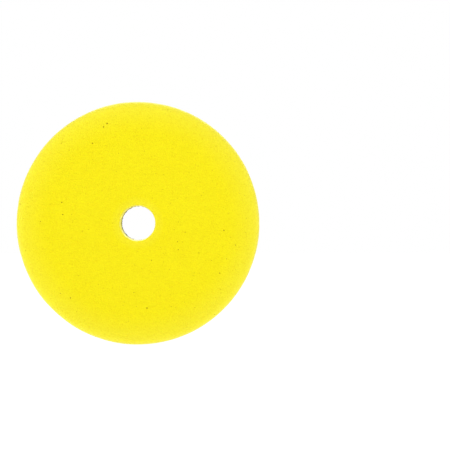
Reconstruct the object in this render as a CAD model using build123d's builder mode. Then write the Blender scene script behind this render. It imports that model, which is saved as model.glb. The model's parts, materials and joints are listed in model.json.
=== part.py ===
from build123d import *
import os

# Foam polishing pad with a hook-and-loop back, a round laminate of foam and loop fabric.
# The pad's axis is Y. The origin is the centre of the loop face, which lies in the XZ plane and
# looks towards +Y, to the machine. The layers follow each other from there towards -Y, and the
# foam's working face, the widest end of the taper, comes last. Sizes are in millimetres.

# Driving dimensions
face_diameter = 150.0  # the foam at its widest, just behind the working face
loop_diameter = 143.0  # the hook-and-loop fabric
hole_diameter = 22.0  # the centre hole, straight through every layer
pad_thickness = 25.0  # over everything, from the loop face to the working face
pile_height = 1.2  # the standing loops
cloth_thickness = 0.6  # the knitted ground cloth with its back coat
adhesive_thickness = 0.3  # the hot-melt film between cloth and foam
foam_ledge = 0.5  # how far the foam's back edge stands out past the fabric
flat_face_diameter = 116.0  # the flat middle of the working face
face_fall = 0.9  # how far the face falls away between that flat and the round at its edge
face_edge_radius = 7.0  # the round between the working face and the flank
hole_edge_radius = 0.8  # the softened rim of the hole in the working face
pile_edge_radius = 0.6  # the loops lean over at the cut outer edge

# Where each layer starts, as a depth below the loop face
cloth_depth = pile_height
adhesive_depth = cloth_depth + cloth_thickness
foam_depth = adhesive_depth + adhesive_thickness

loop_radius = loop_diameter / 2
hole_radius = hole_diameter / 2
foam_back_radius = loop_radius + foam_ledge
flat_face_radius = flat_face_diameter / 2
edge_centre_radius = face_diameter / 2 - face_edge_radius
edge_centre_depth = pad_thickness - face_fall - face_edge_radius

os.makedirs("parts", exist_ok=True)

# Foam body: half of its section is the hull of the back face, the flat of the working face and the
# round of the working edge, so the face's outer band and the flank are the straight lines that
# touch that round. The section is turned about Y.
with BuildPart() as foam_disc:
    with BuildSketch(Plane.XY):
        with BuildLine():
            Line((0, -foam_depth), (foam_back_radius, -foam_depth))
            Line((0, -pad_thickness), (flat_face_radius, -pad_thickness))
            edge_centre = (edge_centre_radius, -edge_centre_depth)
            CenterArc(edge_centre, face_edge_radius, 0, 360)
        make_hull()
    revolve(axis=Axis.Y)
    with BuildSketch(Plane.XZ):
        Circle(hole_radius)
    extrude(amount=pad_thickness, mode=Mode.SUBTRACT)
    working_face = foam_disc.faces().sort_by(Axis.Y)[0]
    fillet(working_face.edges().sort_by(SortBy.RADIUS)[0], radius=hole_edge_radius)
foam_disc.part.label = "foam_disc"
export_step(foam_disc.part, "parts/foam_disc.step")

# Adhesive film between the foam and the ground cloth
with BuildPart() as adhesive_film:
    with BuildSketch(Plane.XZ.offset(adhesive_depth)):
        Circle(loop_radius)
        Circle(hole_radius, mode=Mode.SUBTRACT)
    extrude(amount=adhesive_thickness)
adhesive_film.part.label = "adhesive_film"
export_step(adhesive_film.part, "parts/adhesive_film.step")

# Knitted ground cloth that the loops grow from
with BuildPart() as loop_cloth:
    with BuildSketch(Plane.XZ.offset(cloth_depth)):
        Circle(loop_radius)
        Circle(hole_radius, mode=Mode.SUBTRACT)
    extrude(amount=cloth_thickness)
loop_cloth.part.label = "loop_cloth"
export_step(loop_cloth.part, "parts/loop_cloth.step")

# Loop pile, as the closed space that the loops fill
with BuildPart() as loop_pile:
    with BuildSketch(Plane.XZ):
        Circle(loop_radius)
        Circle(hole_radius, mode=Mode.SUBTRACT)
    extrude(amount=pile_height)
    loop_face = loop_pile.faces().sort_by(Axis.Y)[-1]
    fillet(loop_face.edges().sort_by(SortBy.RADIUS)[-1], radius=pile_edge_radius)
loop_pile.part.label = "loop_pile"
export_step(loop_pile.part, "parts/loop_pile.step")
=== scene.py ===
import json
import math

import bmesh
import bpy
import numpy as np
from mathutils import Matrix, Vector, noise
from mathutils.geometry import delaunay_2d_cdt


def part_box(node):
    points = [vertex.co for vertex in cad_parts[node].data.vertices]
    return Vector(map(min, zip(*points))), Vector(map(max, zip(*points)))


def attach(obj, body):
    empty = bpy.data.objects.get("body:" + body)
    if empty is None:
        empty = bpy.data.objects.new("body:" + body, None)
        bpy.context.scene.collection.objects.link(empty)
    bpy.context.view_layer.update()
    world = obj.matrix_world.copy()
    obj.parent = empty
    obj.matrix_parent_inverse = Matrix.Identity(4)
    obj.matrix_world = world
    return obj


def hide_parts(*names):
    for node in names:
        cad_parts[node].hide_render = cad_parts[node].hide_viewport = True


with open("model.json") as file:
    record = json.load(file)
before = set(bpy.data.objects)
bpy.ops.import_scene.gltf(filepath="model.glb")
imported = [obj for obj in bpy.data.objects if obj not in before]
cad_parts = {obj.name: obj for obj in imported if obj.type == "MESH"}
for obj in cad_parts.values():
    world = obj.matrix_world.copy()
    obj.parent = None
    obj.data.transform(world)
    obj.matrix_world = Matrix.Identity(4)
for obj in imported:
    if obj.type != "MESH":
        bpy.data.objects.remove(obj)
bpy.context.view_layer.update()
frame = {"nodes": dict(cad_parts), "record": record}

# A foam polishing pad that stands on its rim. Its axis is Y: the foam's working face looks towards -Y
# and the hook-and-loop back towards +Y. Everything is in metres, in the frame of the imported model.

MM = 0.001

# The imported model's own sizes
foam_low, foam_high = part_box("foam_disc")
_, pile_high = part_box("loop_pile")
cloth_low, cloth_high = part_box("loop_cloth")
mounts = {mount["name"]: mount for mount in frame["record"]["mounts"]}
HOLE_RADIUS = mounts["centre_hole"]["dims"]["r_mm"] * MM
FACE_RADIUS = foam_high.x
LOOP_RADIUS = pile_high.x
FACE_Y = foam_low.y
FOAM_BACK_Y = foam_high.y
CLOTH_Y = cloth_high.y
LOOP_FACE_Y = pile_high.y
FLOOR_Z = foam_low.z

# The foam's own shape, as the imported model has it
FOAM_LEDGE = 0.5 * MM  # the foam's back edge stands out past the fabric
FLAT_RADIUS = 58.0 * MM  # the flat middle of the working face
FACE_FALL = 0.9 * MM  # the face falls away by this much up to the round at its edge
EDGE_RADIUS = 7.0 * MM
HOLE_ROUND = 0.8 * MM
HOLE_PINCH = 0.5 * MM  # the punch squeezes foam, so the hole is this much tighter half way through

rng = np.random.default_rng(20)


# ---------------------------------------------------------------- camera, light and floor

WORLD_LIGHT = 0.55
FLOOR_LIGHT = 1.15  # the light under the floor
FLOOR_GLOW = 0.86  # its share of the floor's look under the pad
FLOOR_FADE = 0.1, 0.4  # from here on that share grows, to all of it further out
FLOOR_REACH = 4.0
FRAME_WIDTH = 276.4 * MM  # what the picture spans at the working face
CAMERA_DISTANCE = 1.3
CAMERA_SIDE = 53.75 * MM  # the picture's middle is this far to the right of the pad's axis
CAMERA_DROP = 1.1 * MM  # and this far below it


def make_camera():
    data = bpy.data.cameras.new("camera")
    data.sensor_width = 36.0
    data.lens = data.sensor_width * CAMERA_DISTANCE / FRAME_WIDTH
    data.clip_start, data.clip_end = 0.1, 40.0
    camera = bpy.data.objects.new("camera", data)
    camera.location = (CAMERA_SIDE, FACE_Y - CAMERA_DISTANCE, -CAMERA_DROP)
    camera.rotation_euler = (math.radians(90), 0, 0)
    bpy.context.scene.collection.objects.link(camera)
    bpy.context.scene.camera = camera


def soft_box(name, place, size, power):
    """A soft box at a place, facing the pad."""
    data = bpy.data.lights.new(name, "AREA")
    data.shape = "RECTANGLE"
    data.size, data.size_y = size
    data.energy = power
    light = bpy.data.objects.new(name, data)
    light.location = place
    light.rotation_euler = (-Vector(place)).to_track_quat("-Z", "Y").to_euler()
    bpy.context.scene.collection.objects.link(light)


def make_world():
    """White all round for the camera, and a softer white as light."""
    world = bpy.data.worlds.new("studio")
    world.use_nodes = True
    nodes, links = world.node_tree.nodes, world.node_tree.links
    nodes.clear()
    seen = nodes.new("ShaderNodeBackground")
    seen.inputs["Strength"].default_value = 1.0
    light = nodes.new("ShaderNodeBackground")
    light.inputs["Strength"].default_value = WORLD_LIGHT
    for background in (seen, light):
        background.inputs["Color"].default_value = (1, 1, 1, 1)
    ray = nodes.new("ShaderNodeLightPath")
    mix = nodes.new("ShaderNodeMixShader")
    out = nodes.new("ShaderNodeOutputWorld")
    links.new(ray.outputs["Is Camera Ray"], mix.inputs[0])
    links.new(light.outputs[0], mix.inputs[1])
    links.new(seen.outputs[0], mix.inputs[2])
    links.new(mix.outputs[0], out.inputs["Surface"])
    bpy.context.scene.world = world


def floor_material():
    """White and matt, lit from below like a photographer's table, and plain white further out."""
    material = new_material("floor_white")
    nodes, links = material.node_tree.nodes, material.node_tree.links
    shader = nodes["Principled BSDF"]
    shader.inputs["Base Color"].default_value = (0.9, 0.9, 0.9, 1)
    shader.inputs["Roughness"].default_value = 0.9
    shader.inputs["Specular IOR Level"].default_value = 0.0
    glow = nodes.new("ShaderNodeEmission")
    glow.inputs["Strength"].default_value = FLOOR_LIGHT
    place = nodes.new("ShaderNodeTexCoord")
    away = nodes.new("ShaderNodeVectorMath")
    away.operation = "LENGTH"
    fade = nodes.new("ShaderNodeMapRange")
    fade.interpolation_type = "SMOOTHSTEP"
    fade.inputs["From Min"].default_value, fade.inputs["From Max"].default_value = FLOOR_FADE
    fade.inputs["To Min"].default_value = FLOOR_GLOW
    mix = nodes.new("ShaderNodeMixShader")
    links.new(place.outputs["Object"], away.inputs[0])
    links.new(away.outputs["Value"], fade.inputs["Value"])
    links.new(fade.outputs["Result"], mix.inputs[0])
    links.new(shader.outputs[0], mix.inputs[1])
    links.new(glow.outputs[0], mix.inputs[2])
    links.new(mix.outputs[0], nodes["Material Output"].inputs["Surface"])
    return material


def make_floor():
    mesh = bpy.data.meshes.new("floor")
    signs = (-1, -1), (1, -1), (1, 1), (-1, 1)
    corners = [(FLOOR_REACH * x, FLOOR_REACH * y, FLOOR_Z) for x, y in signs]
    mesh.from_pydata(corners, [], [(0, 1, 2, 3)])
    floor = bpy.data.objects.new("floor", mesh)
    bpy.context.scene.collection.objects.link(floor)
    mesh.materials.append(floor_material())


def new_material(name):
    material = bpy.data.materials.new(name)
    material.use_nodes = True
    return material


make_camera()
make_world()
make_floor()
soft_box("left_box", (-1.6, -0.55, 0.2), (0.9, 1.4), 10.5)
soft_box("right_box", (1.55, -0.62, 0.2), (0.9, 1.4), 7.2)
soft_box("front_box", (-0.2, -2.4, 0.5), (1.2, 1.2), 0.6)
soft_box("top_box", (0.0, -0.5, 1.6), (1.6, 1.0), 9.4)
soft_box("back_box", (0.1, 1.6, 0.9), (1.2, 1.2), 24)
bpy.context.scene.view_settings.view_transform = "Standard"
bpy.context.scene.view_settings.look = "None"


# ---------------------------------------------------------------- foam body

OUTLINE_STEP = 0.1 * MM  # between the points on the section's rounds
POINT_SPACING = 0.66 * MM
POINT_JITTER = 0.12  # as a share of the spacing
LARGE_PORES, SMALL_PORES = 34, 430
PORE_TRIES = 40  # a pore that finds no free place in so many tries is left out
PORE_GAP = 2.2  # between the middles of two pores, in their radii added up
PORE_MARGIN = 1.75  # the even lattice keeps this far from a pore's middle, in the pore's radii
PORE_SHADE_DEPTH = 0.8 * MM  # from this depth on a pore has its full painted shade
# The foam's texture layout, in the unit square
DISC_SIZE = 0.49  # the unrolled surface's radius
WALL_SHARE = 0.85  # the hole's wall takes this much of the empty middle's radius
BACK_PLACE, BACK_SIZE = 0.09, 0.085  # the hidden back's middle and radius


def arc(centre, radius, start, end):
    """Points on an arc in the (radius, y) half plane, angles in radians."""
    count = max(2, int(abs(end - start) * radius / OUTLINE_STEP))
    return [
        (centre[0] + radius * math.cos(a), centre[1] + radius * math.sin(a))
        for a in np.linspace(start, end, count)
    ]


def foam_outline():
    """The foam's section from the rim of the hole over the face and the flank to its back edge."""
    rim = arc((HOLE_RADIUS + HOLE_ROUND, FACE_Y + HOLE_ROUND), HOLE_ROUND, math.pi, 1.5 * math.pi)
    edge_x = FACE_RADIUS - EDGE_RADIUS
    edge_y = FACE_Y + FACE_FALL + EDGE_RADIUS
    # The face falls away on one large arc that meets the edge's round smoothly.
    run = edge_x - FLAT_RADIUS
    crown_radius = (run**2 + FACE_FALL**2) / (2 * FACE_FALL) + EDGE_RADIUS
    crown_turn = math.asin(run / (crown_radius - EDGE_RADIUS))
    crown = arc((FLAT_RADIUS, FACE_Y + crown_radius), crown_radius, -math.pi / 2, -math.pi / 2 + crown_turn)
    back = (LOOP_RADIUS + FOAM_LEDGE, FOAM_BACK_Y)
    far = math.hypot(back[0] - edge_x, back[1] - edge_y)
    turn_end = math.atan2(back[1] - edge_y, back[0] - edge_x) - math.acos(EDGE_RADIUS / far)
    edge = arc((edge_x, edge_y), EDGE_RADIUS, -math.pi / 2 + crown_turn, turn_end)
    inner = (back[0] - 1.2 * MM, FOAM_BACK_Y)
    return np.array(rim + crown + edge[1:] + [back, inner])


def along(outline):
    """Each outline point's distance along the outline, set so that on the flat face it is the radius."""
    steps = np.hypot(*np.diff(outline, axis=0).T)
    reach = np.concatenate([[0], np.cumsum(steps)])
    flat_end = np.argmin(np.abs(outline[:, 0] - FLAT_RADIUS))
    return reach + FLAT_RADIUS - reach[flat_end]


def hex_lattice(spacing, inner, outer, jitter):
    """Points on a slightly disturbed hexagonal lattice, in a ring of the plane round the origin."""
    count = int(outer / spacing) + 2
    i, j = np.mgrid[-count : count + 1, -int(1.2 * count) : int(1.2 * count) + 1]
    points = np.stack([(i + 0.5 * (j % 2)) * spacing, j * spacing * math.sqrt(3) / 2], -1).reshape(-1, 2)
    points += rng.uniform(-jitter, jitter, points.shape) * spacing
    reach = np.hypot(*points.T)
    return points[(reach > inner) & (reach < outer)]


def ring(radius, count, turn=0.0):
    angles = np.linspace(0, 2 * math.pi, count, endpoint=False) + turn
    return np.stack([radius * np.cos(angles), radius * np.sin(angles)], 1)


def scatter_pores(inner, outer):
    """Open pores in the unrolled plane of the foam's surface: x, y, radius, depth, stretch and turn."""
    pores = []
    sizes = [(0.32, 0.54)] * LARGE_PORES + [(0.17, 0.3)] * SMALL_PORES
    for low, high in sizes:
        radius = rng.uniform(low, high) * MM
        stretch = rng.choice([1.0, 1.25, 2.1], p=[0.5, 0.3, 0.2])
        for _ in range(PORE_TRIES):
            reach = math.sqrt(rng.uniform(inner**2, outer**2))
            angle = rng.uniform(0, 2 * math.pi)
            x, y = reach * math.cos(angle), reach * math.sin(angle)
            size = radius * stretch
            if all(math.hypot(x - p[0], y - p[1]) > PORE_GAP * (size + p[2] * p[4]) for p in pores):
                depth = radius * rng.uniform(1.1, 1.7)
                pores.append((x, y, radius, depth, stretch, rng.uniform(0, math.pi)))
                break
    return np.array(pores)


def in_pore(points, pore):
    """How far points are from a pore's middle, as a share of the pore's size in that direction."""
    x, y, radius, _, stretch, turn = pore
    dx, dy = points[:, 0] - x, points[:, 1] - y
    lengthwise = dx * math.cos(turn) + dy * math.sin(turn)
    crosswise = dy * math.cos(turn) - dx * math.sin(turn)
    return np.hypot(lengthwise / stretch, crosswise) / radius


def pore_points(pore):
    """Close points for the mesh in and round a pore."""
    x, y, radius, _, stretch, turn = pore
    rings = [np.zeros((1, 2))]
    for share, count in ((0.45, 6), (0.8, 9), (1.0, 11), (1.4, 11)):
        rings.append(ring(share * radius, count, rng.uniform(0, 1)))
    points = np.concatenate(rings) * (stretch, 1)
    lengthwise = np.array([math.cos(turn), math.sin(turn)])
    crosswise = np.array([-math.sin(turn), math.cos(turn)])
    return points[:, :1] * lengthwise + points[:, 1:] * crosswise + (x, y)


def foam_lift(place):
    """How far the foam's surface stands off its even shape there, in metres."""
    p = Vector(place)
    wave = 0.14 * noise.noise(p / (19 * MM)) + 0.05 * noise.noise(p / (4.3 * MM))
    nearest, second = noise.voronoi(p / (1.35 * MM))[0][:2]
    return (wave + 0.07 * (second - nearest) - 0.03) * MM


def store(piece, name, values):
    """Keeps one number for each vertex, which the material reads by its name."""
    attribute = piece.data.attributes.new(name, "FLOAT", "POINT")
    attribute.data.foreach_set("value", np.asarray(values, np.float32))


def corner_vertices(mesh):
    """The vertex at each corner of each face, in the faces' order."""
    vertices = np.empty(len(mesh.loops), np.int32)
    mesh.loops.foreach_get("vertex_index", vertices)
    return vertices


def lay_out(piece, places):
    """A texture map named OFBake, from one place in the unit square for each face corner."""
    layer = piece.data.uv_layers.new(name="OFBake")
    layer.uv.foreach_set("vector", np.asarray(places, np.float32).ravel())


def lay_out_flat(piece):
    """The same for the thin pieces of the back, seen straight along the pad's axis."""
    mesh = piece.data
    places = np.array([vertex.co for vertex in mesh.vertices])[:, [0, 2]]
    width = 2 * LOOP_RADIUS + 4 * MM  # with room for the loose fibres
    lay_out(piece, 0.5 + places[corner_vertices(mesh)] / width)


def new_piece(name, verts, faces, material):
    mesh = bpy.data.meshes.new(name)
    mesh.from_pydata(verts, [], faces)
    mesh.validate()
    mesh.shade_smooth()
    mesh.materials.append(material)
    piece = bpy.data.objects.new(name, mesh)
    bpy.context.scene.collection.objects.link(piece)
    return piece


def unrolled_surface(reach, pores):
    """The foam's skin unrolled into a plane, where the distance from the origin is the way along the
    outline. It has an even lattice, closer points in and round each pore, and whole rings where the skin
    turns a corner or ends. Returns the points, the triangles and the numbers of the points on the rim."""
    inner, outer, back = reach[0], reach[-1], reach[-2]
    rim_count = round(2 * math.pi * inner / POINT_SPACING)
    outer_count = round(2 * math.pi * FACE_RADIUS / (1.5 * POINT_SPACING))
    margin = 0.5 * POINT_SPACING
    flat = hex_lattice(POINT_SPACING, inner + margin, outer - margin, POINT_JITTER)
    keep = np.abs(np.hypot(*flat.T) - back) > 0.4 * POINT_SPACING
    for pore in pores:
        keep &= in_pore(flat, pore) > PORE_MARGIN
    flat = flat[keep]
    groups = [flat, ring(inner, rim_count), ring(back, outer_count), ring(outer, outer_count)]
    groups += [pore_points(pore) for pore in pores]
    plane = np.concatenate(groups)
    triangles = delaunay_2d_cdt([tuple(p) for p in plane / MM], [], [], 0, 1e-6, False)[2]
    triangles = np.array([t for t in triangles if len(t) == 3])
    # The triangles that would close the hole go.
    middle = plane[triangles].mean(1)
    triangles = triangles[np.hypot(*middle.T) > inner * 0.998]
    return plane, triangles, np.arange(len(flat), len(flat) + rim_count)


def onto_pad(plane, outline, reach):
    """Where points of the plane lie on the pad, which way the skin faces there, and how far along the
    outline they are."""
    way = np.hypot(*plane.T).clip(reach[0], reach[-1])
    radius, y = np.interp(way, reach, outline[:, 0]), np.interp(way, reach, outline[:, 1])
    slope = np.gradient(outline, reach, axis=0)
    slope /= np.hypot(*slope.T)[:, None]
    out_radial, out_y = np.interp(way, reach, slope[:, 1]), -np.interp(way, reach, slope[:, 0])
    across = plane / np.hypot(*plane.T)[:, None]
    places = np.stack([radius * across[:, 0], y, radius * across[:, 1]], 1)
    normals = np.stack([out_radial * across[:, 0], out_y, out_radial * across[:, 1]], 1)
    return places, normals, way


def hole_wall(rim_places):
    """The wall of the hole, row by row from the rim to the back, and each row's depth from 0 to 1."""
    rim_y = rim_places[0, 1]
    rows = max(2, round((FOAM_BACK_Y - rim_y) / POINT_SPACING))
    wall_y = np.linspace(rim_y, FOAM_BACK_Y, rows + 1)[1:]
    through = (wall_y - wall_y[0]) / (wall_y[-1] - wall_y[0])
    tighter = 1 - HOLE_PINCH / HOLE_RADIUS * np.sin(math.pi * through) ** 0.7
    wall = np.repeat(rim_places[None], rows, axis=0)
    wall[:, :, [0, 2]] *= tighter[:, None, None]
    wall[:, :, 1] = wall_y[:, None]
    return wall.reshape(-1, 3), through


def pore_depth(plane, pores):
    """How deep the pores go at each point of the plane."""
    depth = np.zeros(len(plane))
    for pore in pores:
        t = (in_pore(plane, pore) / 1.05).clip(0, 1)
        depth = np.maximum(depth, pore[3] * (1 - t * t * (3 - 2 * t)))
    return depth


def tint_foam(foam, way, reach, pits):
    """Stores how deep the pores go, for the painted shade in them, and where the skin's colour changes:
    painted sheen makes it lighter and whiter over the rounded edge and round the hole's mouth, the hole's
    wall is painted lighter all over, and painted shade makes the flank a shade deeper."""
    wall = np.ones(len(pits) - len(way))
    edge_start, edge_end = FLAT_RADIUS - 4 * MM, reach[-2]
    hole_start, hole_end = reach[0], reach[0] + 6 * MM
    # painted sheen: the foam is painted lighter and whiter over its rounded edge and round the hole's
    # mouth, where the side lights glance off it, and its hole wall is painted lighter all over
    painted_lighter = ((way - edge_start) / (edge_end - edge_start)).clip(0, 1) ** 1.7
    painted_lighter = np.maximum(painted_lighter, 0.2 * ((hole_end - way) / (hole_end - hole_start)).clip(0, 1))
    # painted shade: the flank is painted a deeper yellow than the face, darker where the lights hit it
    # hardest
    flank = ((way - reach[-3]) / (4 * MM)).clip(0, 1)
    # painted shade: the deeper a pore goes, the darker its colour
    store(foam, "pore", (pits / PORE_SHADE_DEPTH).clip(0, 1))
    store(foam, "painted_lighter", np.concatenate([painted_lighter, wall]))
    store(foam, "flank", np.concatenate([flank, 0 * wall]))


def close_back(foam):
    """Closes the foam's hidden back between its two open edges, and turns every face outwards."""
    bm = bmesh.new()
    bm.from_mesh(foam.data)
    open_edges = [edge for edge in bm.edges if edge.is_boundary]
    bmesh.ops.triangle_fill(bm, use_beauty=True, use_dissolve=False, edges=open_edges, normal=(0, 1, 0))
    bmesh.ops.recalc_face_normals(bm, faces=bm.faces)
    bm.to_mesh(foam.data)
    bm.free()


def lay_out_foam(foam, plane, wall, base, outside):
    """The texture's layout: the unrolled surface as a disc, the hole's wall inside it, ring in ring, and
    the hidden back in a corner. outside is how many faces come before those of the back."""
    shrink = DISC_SIZE / np.hypot(*plane.T).max()
    layout = 0.5 + shrink * np.concatenate([plane, wall])
    corners = corner_vertices(foam.data)
    places = layout[corners]
    hidden = foam.data.polygons[outside].loop_start
    places[hidden:] = BACK_PLACE + BACK_SIZE / FACE_RADIUS * base[corners[hidden:]][:, [0, 2]]
    lay_out(foam, places)


def make_foam():
    outline = foam_outline()
    reach = along(outline)
    pores = scatter_pores(reach[0] + 1.5 * MM, reach[-2] - 1.5 * MM)
    plane, triangles, rim = unrolled_surface(reach, pores)
    places, normals, way = onto_pad(plane, outline, reach)
    wall, through = hole_wall(places[rim])
    rows = len(through)

    # The skin's relief, which is faint and only sideways at the back, where the glue lies
    base = np.concatenate([places, wall])
    outward = np.concatenate([normals, np.tile(normals[rim], (rows, 1))])
    pits = np.concatenate([pore_depth(plane, pores), np.zeros(len(wall))])
    back = base[:, 1] > FOAM_BACK_Y - 0.01 * MM
    lift = np.array([foam_lift(p) for p in base]) - pits
    lift[back] *= 0.2
    outward[back, 1] = 0
    verts = base + outward * lift[:, None]

    row_points = np.concatenate([[rim], len(plane) + np.arange(len(wall)).reshape(rows, -1)])
    beside = np.roll(row_points, -1, axis=1)
    quads = np.stack([row_points[:-1], beside[:-1], beside[1:], row_points[1:]], -1).reshape(-1, 4)
    faces = triangles[:, ::-1].tolist() + quads.tolist()
    foam = new_piece("foam_body", verts.tolist(), faces, foam_material())
    tint_foam(foam, way, reach, pits)
    outside = len(foam.data.polygons)
    close_back(foam)
    nearer = 1 - WALL_SHARE * np.repeat(through, len(rim))[:, None]
    lay_out_foam(foam, plane, nearer * np.tile(plane[rim], (rows, 1)), base, outside)
    print("foam", len(foam.data.vertices), len(foam.data.polygons), "pores", len(pores))
    return foam


# ---------------------------------------------------------------- materials


class Nodes:
    """Builds a material's nodes: add() makes one, and a value that is a socket is linked to its input."""

    def __init__(self, material):
        self.tree = material.node_tree
        self.shader = self.tree.nodes["Principled BSDF"]

    def put(self, node, inputs):
        for name, value in inputs.items():
            socket = node.inputs[name]
            if isinstance(value, bpy.types.NodeSocket):
                self.tree.links.new(value, socket)
            else:
                socket.default_value = value

    def add(self, kind, inputs, output=0, **settings):
        node = self.tree.nodes.new("ShaderNode" + kind)
        for name, value in settings.items():
            setattr(node, name, value)
        self.put(node, inputs)
        return node.outputs[output]

    def place(self):
        return self.add("TexCoord", {}, "Object")

    def noise(self, size, detail=2.0, roughness=0.5):
        """Noise with features of about this size, in metres, from 0 to 1."""
        inputs = {"Vector": self.place(), "Scale": 1 / size, "Detail": detail, "Roughness": roughness}
        return self.add("TexNoise", inputs, "Fac")

    def cells(self, size):
        """The distance to the nearest cell's middle, as a share of a cell's size in metres."""
        return self.add("TexVoronoi", {"Vector": self.place(), "Scale": 1 / size}, "Distance")

    def map(self, value, low, high, to_low=0.0, to_high=1.0):
        inputs = {"Value": value, "From Min": low, "From Max": high, "To Min": to_low, "To Max": to_high}
        return self.add("MapRange", inputs)

    def mix(self, factor, a, b):
        """Two colours mixed. A mix node's colours are its inputs 6 and 7 and its output 2."""
        node = self.tree.nodes.new("ShaderNodeMix")
        node.data_type = "RGBA"
        for socket, value in zip((node.inputs[0], node.inputs[6], node.inputs[7]), (factor, a, b)):
            if isinstance(value, bpy.types.NodeSocket):
                self.tree.links.new(value, socket)
            else:
                socket.default_value = value
        return node.outputs[2]

    def sum(self, *terms):
        """The sum of (value, weight) terms."""
        total = 0.0
        for value, weight in terms:
            total = self.add("Math", {0: value, 1: weight, 2: total}, operation="MULTIPLY_ADD")
        return total

    def bump(self, height, strength, distance):
        return self.add("Bump", {"Height": height, "Strength": strength, "Distance": distance})

    def read(self, name):
        return self.add("Attribute", {}, "Fac", attribute_name=name)


def foam_material():
    """Open-cell foam: fine cells, a faint cloudiness, and open pores that go deep, with painted shade in
    the cells' hollows and a deep orange painted shade inside the pores.
    """
    material = new_material("yellow_foam")
    n = Nodes(material)
    cells = n.cells(0.8 * MM)
    fine = n.cells(0.42 * MM)
    cloud = n.noise(22 * MM, 2.0)
    patch = n.noise(3.5 * MM, 2.0)
    grain = n.noise(0.9 * MM, 3.0)
    # painted shade in the foam's cell hollows, darker towards each cell's middle
    large_cell_shade = n.map(cells, 0.42, 0.12)
    cell_hollow_shade = n.sum((large_cell_shade, n.map(patch, 0.35, 0.65, 0.25, 0.7)), (n.map(fine, 0.4, 0.1), 0.36))
    colour = n.mix(n.map(cloud, 0.3, 0.7), (0.960, 0.826, 0.0015, 1), (0.970, 0.845, 0.002, 1))
    # painted sheen: a lighter, whiter yellow over the rounded edge, round the hole's mouth and on the
    # hole's wall
    colour = n.mix(n.map(n.read("painted_lighter"), 0.0, 1.0, 0.0, 0.9), colour, (0.985, 0.925, 0.12, 1))
    # painted shade on the flank
    colour = n.mix(n.map(n.read("flank"), 0.0, 1.0, 0.0, 0.9), colour, (0.88, 0.785, 0.075, 1))
    colour = n.mix(n.map(grain, 0.3, 0.75, 0.0, 0.08), colour, (1.0, 0.95, 0.03, 1))
    colour = n.mix(cell_hollow_shade, colour, (0.80, 0.60, 0.0, 1))
    # painted shade deep in the pores
    colour = n.mix(n.map(n.read("pore"), 0.04, 0.45, 0.0, 0.95), colour, (0.42, 0.22, 0.0, 1))
    height = n.sum((cells, 0.9), (fine, 0.5), (grain, 0.4))
    n.put(
        n.shader,
        {
            "Base Color": colour,
            "Roughness": n.map(grain, 0.3, 0.7, 0.5, 0.64),
            "Normal": n.bump(height, 0.8, 0.28 * MM),
            "Specular IOR Level": 0.12,
            "Sheen Weight": 0.3,
            "Sheen Roughness": 0.35,
            "Subsurface Weight": 0.2,
            "Subsurface Radius": (1.0, 0.9, 0.25),
            "Subsurface Scale": 3 * MM,
        },
    )
    return material


def black_yarn():
    """Dull black nylon: each loop a little lighter or darker, and painted darkest down in the pile as
    painted shade.
    """
    material = new_material("black_nylon")
    n = Nodes(material)
    tone_and_foot_shade = n.mix(n.read("shade"), (0.0009, 0.0006, 0.0007, 1), (0.0052, 0.0038, 0.0042, 1))
    n.put(
        n.shader,
        {
            "Base Color": tone_and_foot_shade,
            "Roughness": n.map(n.noise(0.5 * MM), 0.3, 0.7, 0.62, 0.85),
            "Specular IOR Level": 0.05,
        },
    )
    return material


def printed_yarn():
    """Silver-grey ink on the nylon: it varies from loop to loop, its brightest loops are painted glints for
    the metallic ink's sparkle, its feet are darker as painted shade, and it is broken along each loop.
    """
    material = new_material("grey_print")
    n = Nodes(material)
    cover = n.map(n.noise(0.45 * MM, 3.0), 0.34, 0.52)
    # painted glints: the brightest loops stand in for the ink's sparkle, and the feet stay darker as
    # painted shade
    ink_with_painted_glints = n.mix(n.read("shade"), (0.04, 0.037, 0.038, 1), (0.95, 0.92, 0.93, 1))
    n.put(
        n.shader,
        {
            "Base Color": n.mix(cover, (0.008, 0.007, 0.007, 1), ink_with_painted_glints),
            "Roughness": n.map(n.noise(0.7 * MM), 0.3, 0.7, 0.45, 0.7),
            "Specular IOR Level": 0.35,
        },
    )
    return material


def bed_material():
    """The tangle under the loops: black, with the print's grey only as dim specks between the loops."""
    material = new_material("black_tangle")
    n = Nodes(material)
    strands = n.noise(0.35 * MM, 4.0, 0.7)
    specks = n.map(n.sum((n.read("print"), 0.7), (strands, 0.9)), 1.12, 1.3)
    colour = n.mix(n.map(strands, 0.35, 0.7), (0.0006, 0.0004, 0.0005, 1), (0.0030, 0.0020, 0.0023, 1))
    n.put(
        n.shader,
        {
            "Base Color": n.mix(specks, colour, (0.075, 0.071, 0.074, 1)),
            "Roughness": n.map(strands, 0.3, 0.7, 0.75, 0.95),
            "Normal": n.bump(strands, 1.0, 0.35 * MM),
            "Specular IOR Level": 0.03,
        },
    )
    return material


def cloth_material():
    """Knitted black ground cloth: fine courses that run across its cut edge."""
    material = new_material("black_knit")
    n = Nodes(material)
    courses = n.noise(0.3 * MM, 2.0)
    n.put(
        n.shader,
        {
            "Base Color": n.mix(courses, (0.004, 0.0035, 0.0038, 1), (0.022, 0.020, 0.021, 1)),
            "Roughness": n.map(courses, 0.3, 0.7, 0.7, 0.9),
            "Normal": n.bump(courses, 0.8, 0.2 * MM),
            "Specular IOR Level": 0.15,
        },
    )
    return material


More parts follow.
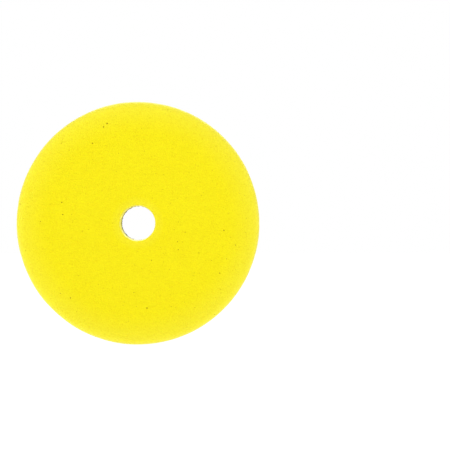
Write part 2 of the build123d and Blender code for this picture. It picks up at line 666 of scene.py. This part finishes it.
def glue_material():
    """Hot-melt film, dull amber-brown where its edge shows between foam and cloth."""
    material = new_material("hot_melt")
    n = Nodes(material)
    patches = n.noise(2.5 * MM, 3.0)
    n.put(
        n.shader,
        {
            "Base Color": n.mix(n.map(patches, 0.35, 0.65), (0.10, 0.065, 0.004, 1), (0.30, 0.22, 0.01, 1)),
            "Roughness": n.map(patches, 0.3, 0.7, 0.35, 0.6),
            "Normal": n.bump(n.noise(0.8 * MM), 0.5, 0.15 * MM),
            "Specular IOR Level": 0.4,
        },
    )
    return material


# ---------------------------------------------------------------- hook-and-loop back

LOOP_PITCH = 1.35 * MM  # between neighbouring loops
INKED_PITCH = 0.98 * MM  # ink mats the pile, so its loops lie closer
LOOP_JITTER = 0.32  # as a share of the pitch
YARN_RADIUS = 0.14 * MM
INKED_RADIUS = 0.2 * MM  # the ink glues a loop's filaments into a thicker strand
HAIR_RADIUS = 0.07 * MM
OUTER_HAIRS, INNER_HAIRS = 800, 300
TUBE_SIDES = 3
BED_HEIGHT = 0.42 * MM  # of the tangle between the loops, above the cloth
BED_SIDES, CLOTH_SIDES = 440, 720  # steps round the pad
FABRIC_HOLE = HOLE_RADIUS - 0.32 * MM  # the fabric gives way to the punch, so its own hole is tighter
PRINT_START = np.array([-0.4, 47.3]) * MM  # one patch's middle, to the right and up as seen from behind
PRINT_STEPS = np.array([[32.5, -32.7], [-10.1, -52.2]]) * MM  # from each patch to its neighbours
PRINT_WIDTH, PRINT_HEIGHT = 42 * MM, 32 * MM
BAR_WIDTH, BAR_PITCH, BAR_SLANT = 2.7 * MM, 5.6 * MM, 0.27


def printed(x, z):
    """Where the grey print lies on the loop face: a lattice of oval patches of slanted bars."""
    covered = np.zeros(len(x), bool)
    for i in range(-3, 4):
        for j in range(-3, 4):
            middle = PRINT_START + np.array([i, j]) @ PRINT_STEPS
            right, up = -x - middle[0], z - middle[1]
            across = right - BAR_SLANT * up
            bar = np.round(across / BAR_PITCH) * BAR_PITCH
            room = np.clip(1 - (bar / (0.5 * PRINT_WIDTH)) ** 2, 0, None)
            inside = np.abs(up) < 0.5 * PRINT_HEIGHT * np.sqrt(room)
            covered |= inside & (np.abs(across - bar) < 0.5 * BAR_WIDTH)
    return covered


def tubes(paths, radii):
    """Closed tubes round curved paths, given as (tubes, points, xyz), as vertices and faces."""
    count, points = paths.shape[:2]
    forward = np.gradient(paths, axis=1)
    forward /= np.linalg.norm(forward, axis=2, keepdims=True)
    chord = paths[:, -1] - paths[:, 0]
    bulge = paths[:, points // 2] - paths[:, 0]
    side = np.cross(chord, bulge)
    side = (side / np.linalg.norm(side, axis=1, keepdims=True))[:, None, :]
    out = np.cross(side, forward)
    out /= np.linalg.norm(out, axis=2, keepdims=True)
    turns = np.arange(TUBE_SIDES) * 2 * math.pi / TUBE_SIDES
    rings = [paths + radii[..., None] * (math.cos(turn) * out + math.sin(turn) * side) for turn in turns]
    verts = np.stack(rings, 2).reshape(-1, 3)
    corner = np.arange(count * points * TUBE_SIDES).reshape(count, points, TUBE_SIDES)
    beside = np.roll(corner, -1, axis=2)
    walls = np.stack([corner[:, :-1], beside[:, :-1], beside[:, 1:], corner[:, 1:]], -1).reshape(-1, 4)
    ends = np.concatenate([corner[:, 0, ::-1], corner[:, -1]])
    return verts, walls.tolist() + ends.tolist()


def within_ring(paths, inner, outer):
    """Keeps paths between two radii of the pad's axis, by moving stray points straight in or out."""
    reach = np.hypot(paths[..., 0], paths[..., 2])
    scale = reach.clip(inner, outer) / reach
    paths[..., 0] *= scale
    paths[..., 2] *= scale
    return paths


def loop_paths(centres, points):
    """Each loop rises out of the cloth, leans over to one side and goes back in."""
    count = len(centres)
    t = np.linspace(0, math.pi, points)[None, :]
    azimuth = rng.uniform(0, 2 * math.pi, (count, 1))
    span = rng.uniform(0.9, 1.55, (count, 1)) * MM
    height = rng.uniform(0.62, 1.0, (count, 1)) * (LOOP_FACE_Y - CLOTH_Y)
    lean = rng.normal(0, 0.42, (count, 1)) * MM
    skew = rng.normal(0, 0.22, (count, 1)) * MM
    length_wise = -0.5 * span * np.cos(t) * (0.75 + 0.45 * np.sin(t)) + skew * np.sin(t)
    side_wise = lean * np.sin(t) + 0.12 * MM * rng.normal(0, 1, (count, points))
    up = height * np.sin(t) ** 0.8
    # The pile rolls down towards its cut edges.
    reach = np.hypot(*centres.T)[:, None]
    edge = np.minimum(LOOP_RADIUS - reach, reach - HOLE_RADIUS) / (0.9 * MM)
    up *= 0.6 + 0.4 * edge.clip(0, 1)
    x = centres[:, :1] + length_wise * np.cos(azimuth) - side_wise * np.sin(azimuth)
    z = centres[:, 1:] + length_wise * np.sin(azimuth) + side_wise * np.cos(azimuth)
    paths = np.stack([x, CLOTH_Y + up, z], -1)
    return within_ring(paths, FABRIC_HOLE - 0.2 * MM, LOOP_RADIUS + 0.3 * MM)


def hair_paths(count, edge_radius, way):
    """Loose fibres at a cut edge. way is 1 for outwards from the pad's axis and -1 for inwards."""
    angle = rng.uniform(0, 2 * math.pi, (count, 1))
    t = np.linspace(0, 1, 4)[None, :]
    length = rng.uniform(0.5, 1.5, (count, 1)) * MM
    swing = rng.normal(0, 1.0, (count, 1))
    out = length * np.sin(1.4 * t) * rng.uniform(0.3, 0.75, (count, 1)) - 0.5 * MM
    sideways = swing * length * t**1.6 * 0.8
    start = rng.uniform(CLOTH_Y - 0.35 * MM, LOOP_FACE_Y - 0.35 * MM, (count, 1))
    y = start + rng.normal(0, 0.25, (count, 1)) * MM * t - 0.2 * MM * t * t
    reach = edge_radius + way * out
    turn = angle + sideways / edge_radius
    return np.stack([reach * np.cos(turn), y.clip(FOAM_BACK_Y, LOOP_FACE_Y), reach * np.sin(turn)], -1)


def tube_piece(name, paths, radii, material, shade):
    """One piece of many tubes, with a shade from 0 to 1 for each, and feet darkened by painted shade."""
    verts, faces = tubes(paths, radii)
    piece = new_piece(name, verts.tolist(), faces, material)
    up = ((paths[..., 1] - CLOTH_Y) / (LOOP_FACE_Y - CLOTH_Y)).clip(0, 1)
    # painted shade: each tube is painted darker towards its foot, down in the pile
    tone_and_foot_shade = shade[:, None] * (0.25 + 0.75 * up)
    store(piece, "shade", np.repeat(tone_and_foot_shade.ravel(), TUBE_SIDES))
    lay_out_flat(piece)
    print(name, len(piece.data.vertices), len(piece.data.polygons))
    return piece


def turned(profile, count):
    """A closed section of (radius, y) points turned about the pad's axis, as vertices and faces."""
    angles = np.linspace(0, 2 * math.pi, count, endpoint=False)
    radius, y = np.array(profile).T
    x, z = np.outer(radius, np.cos(angles)), np.outer(radius, np.sin(angles))
    verts = np.stack([x, np.repeat(y[:, None], count, 1), z], -1).reshape(-1, 3)
    corner = np.arange(len(profile) * count).reshape(len(profile), count)
    beside, after = np.roll(corner, -1, axis=1), np.roll(corner, -1, axis=0)
    across = np.roll(after, -1, axis=1)
    faces = np.stack([corner, after, across, beside], -1).reshape(-1, 4)
    return verts, faces.tolist()


def make_bed():
    """The dark tangle between the loops, as an uneven closed ring on the cloth."""
    inner, outer = FABRIC_HOLE, LOOP_RADIUS
    steps = round((outer - inner) / (0.8 * MM))
    top = CLOTH_Y + BED_HEIGHT
    radii = np.linspace(inner + 0.25 * MM, outer - 0.25 * MM, steps)
    profile = [(inner, CLOTH_Y - 0.05 * MM), (inner + 0.02 * MM, CLOTH_Y + 0.2 * MM)]
    profile += [(radius, top) for radius in radii]
    profile += [(outer - 0.02 * MM, CLOTH_Y + 0.2 * MM), (outer, CLOTH_Y - 0.05 * MM)]
    verts, faces = turned(profile, BED_SIDES)
    tops = verts[:, 1] > top - 0.01 * MM
    for k in np.flatnonzero(tops):
        p = Vector(verts[k])
        verts[k, 1] += (0.34 * noise.noise(p / (1.1 * MM)) + 0.12 * noise.noise(p / (7 * MM))) * MM
    bed = new_piece("pile_bed", verts.tolist(), faces, bed_material())
    store(bed, "print", printed(verts[:, 0], verts[:, 2]))
    lay_out_flat(bed)
    return bed


def make_cloth():
    """The ground cloth: a thin ring whose cut edges wander a little."""
    low, high = cloth_low.y, CLOTH_Y
    inner, outer = FABRIC_HOLE, LOOP_RADIUS
    radii = np.linspace(inner + 0.1 * MM, outer - 0.1 * MM, 24)
    middle = 0.5 * (low + high)
    profile = [(inner, middle), *((radius, high) for radius in radii)]
    profile += [(outer, middle), *((radius, low) for radius in radii[::-1])]
    verts, faces = turned(profile, CLOTH_SIDES)
    reach = np.hypot(verts[:, 0], verts[:, 2])
    angle = np.arctan2(verts[:, 2], verts[:, 0])
    edge = (1 - np.minimum(outer - reach, reach - inner) / (1.5 * MM)).clip(0, 1)
    teeth = 0.06 * np.sin(angle * reach / (0.35 * MM))
    waves = 0.08 * np.sin(17 * angle + 1.0) + 0.05 * np.sin(41 * angle)
    scale = 1 + edge * (teeth + waves) * MM / reach
    verts[:, 0] *= scale
    verts[:, 2] *= scale
    cloth = new_piece("ground_cloth", verts.tolist(), faces, cloth_material())
    lay_out_flat(cloth)
    return cloth


def make_loops(name, centres, points, yarn_radius, material):
    radii = rng.uniform(0.8, 1.15, (len(centres), 1)) * yarn_radius * np.ones((1, points))
    paths = loop_paths(centres, points)
    return tube_piece(name, paths, radii, material, rng.uniform(0.15, 1, len(centres)))


def make_pile():
    """The loops, in black and printed pieces, and the fibres at the cut edges."""
    inner, outer = HOLE_RADIUS - 0.3 * MM, LOOP_RADIUS - 0.3 * MM
    plain = hex_lattice(LOOP_PITCH, inner, outer, LOOP_JITTER)
    inked = hex_lattice(INKED_PITCH, inner, outer, LOOP_JITTER)
    plain, inked = plain[~printed(*plain.T)], inked[printed(*inked.T)]
    black = make_loops("black_loops", plain, 5, YARN_RADIUS, black_yarn())
    grey = make_loops("printed_loops", inked, 6, INKED_RADIUS, printed_yarn())
    outside, inside = hair_paths(OUTER_HAIRS, LOOP_RADIUS, 1), hair_paths(INNER_HAIRS, FABRIC_HOLE, -1)
    hairs = np.concatenate([outside, inside])
    thin = HAIR_RADIUS * np.array([[1.0, 0.9, 0.75, 0.5]]) * rng.uniform(0.7, 1.2, (len(hairs), 1))
    fibres = tube_piece("frayed_fibres", hairs, thin, black_yarn(), rng.uniform(0.2, 1, len(hairs)))
    return [black, grey, fibres]


foam = make_foam()
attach(foam, "root")
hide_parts("foam_disc")

cloth = make_cloth()
bed = make_bed()
pile = make_pile()
for piece in (cloth, bed, *pile):
    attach(piece, "root")
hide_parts("loop_cloth")
for piece in (bed, *pile):
    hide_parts("loop_pile")
frame["nodes"]["adhesive_film"].material_slots[0].material = glue_material()
